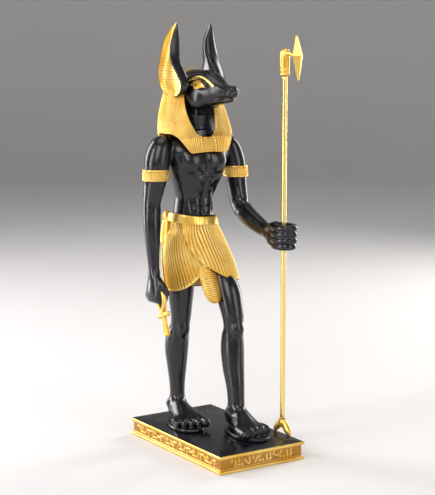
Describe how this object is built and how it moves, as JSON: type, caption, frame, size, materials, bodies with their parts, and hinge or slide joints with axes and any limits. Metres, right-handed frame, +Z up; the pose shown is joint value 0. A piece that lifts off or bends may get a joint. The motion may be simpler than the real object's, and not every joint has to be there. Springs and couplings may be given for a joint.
{
  "type": "standing anubis figurine",
  "caption": "Striding jackal-headed Egyptian guardian in black and gold cast resin, holding an ankh and a long was-sceptre, on a rectangular plinth.",
  "frame": {"origin": "centre of the plinth's underside", "axes": "+Z up; the figure looks towards -Y and its right hand, with the ankh, is on the -X side"},
  "size_m": [0.0852, 0.12, 0.3],
  "materials": {
    "black": "satin-gloss black paint over cast resin",
    "gold": "antiqued gold paint with brown wash in the recesses, over cast resin",
    "rod": "smooth gold-coloured metal rod"
  },
  "bodies": {
    "root": {"figure": "black", "plinth": "gold", "ankh": "gold", "staff_shaft": "rod", "staff_head": "gold", "staff_foot": "gold"}
  },
  "joints": []
}
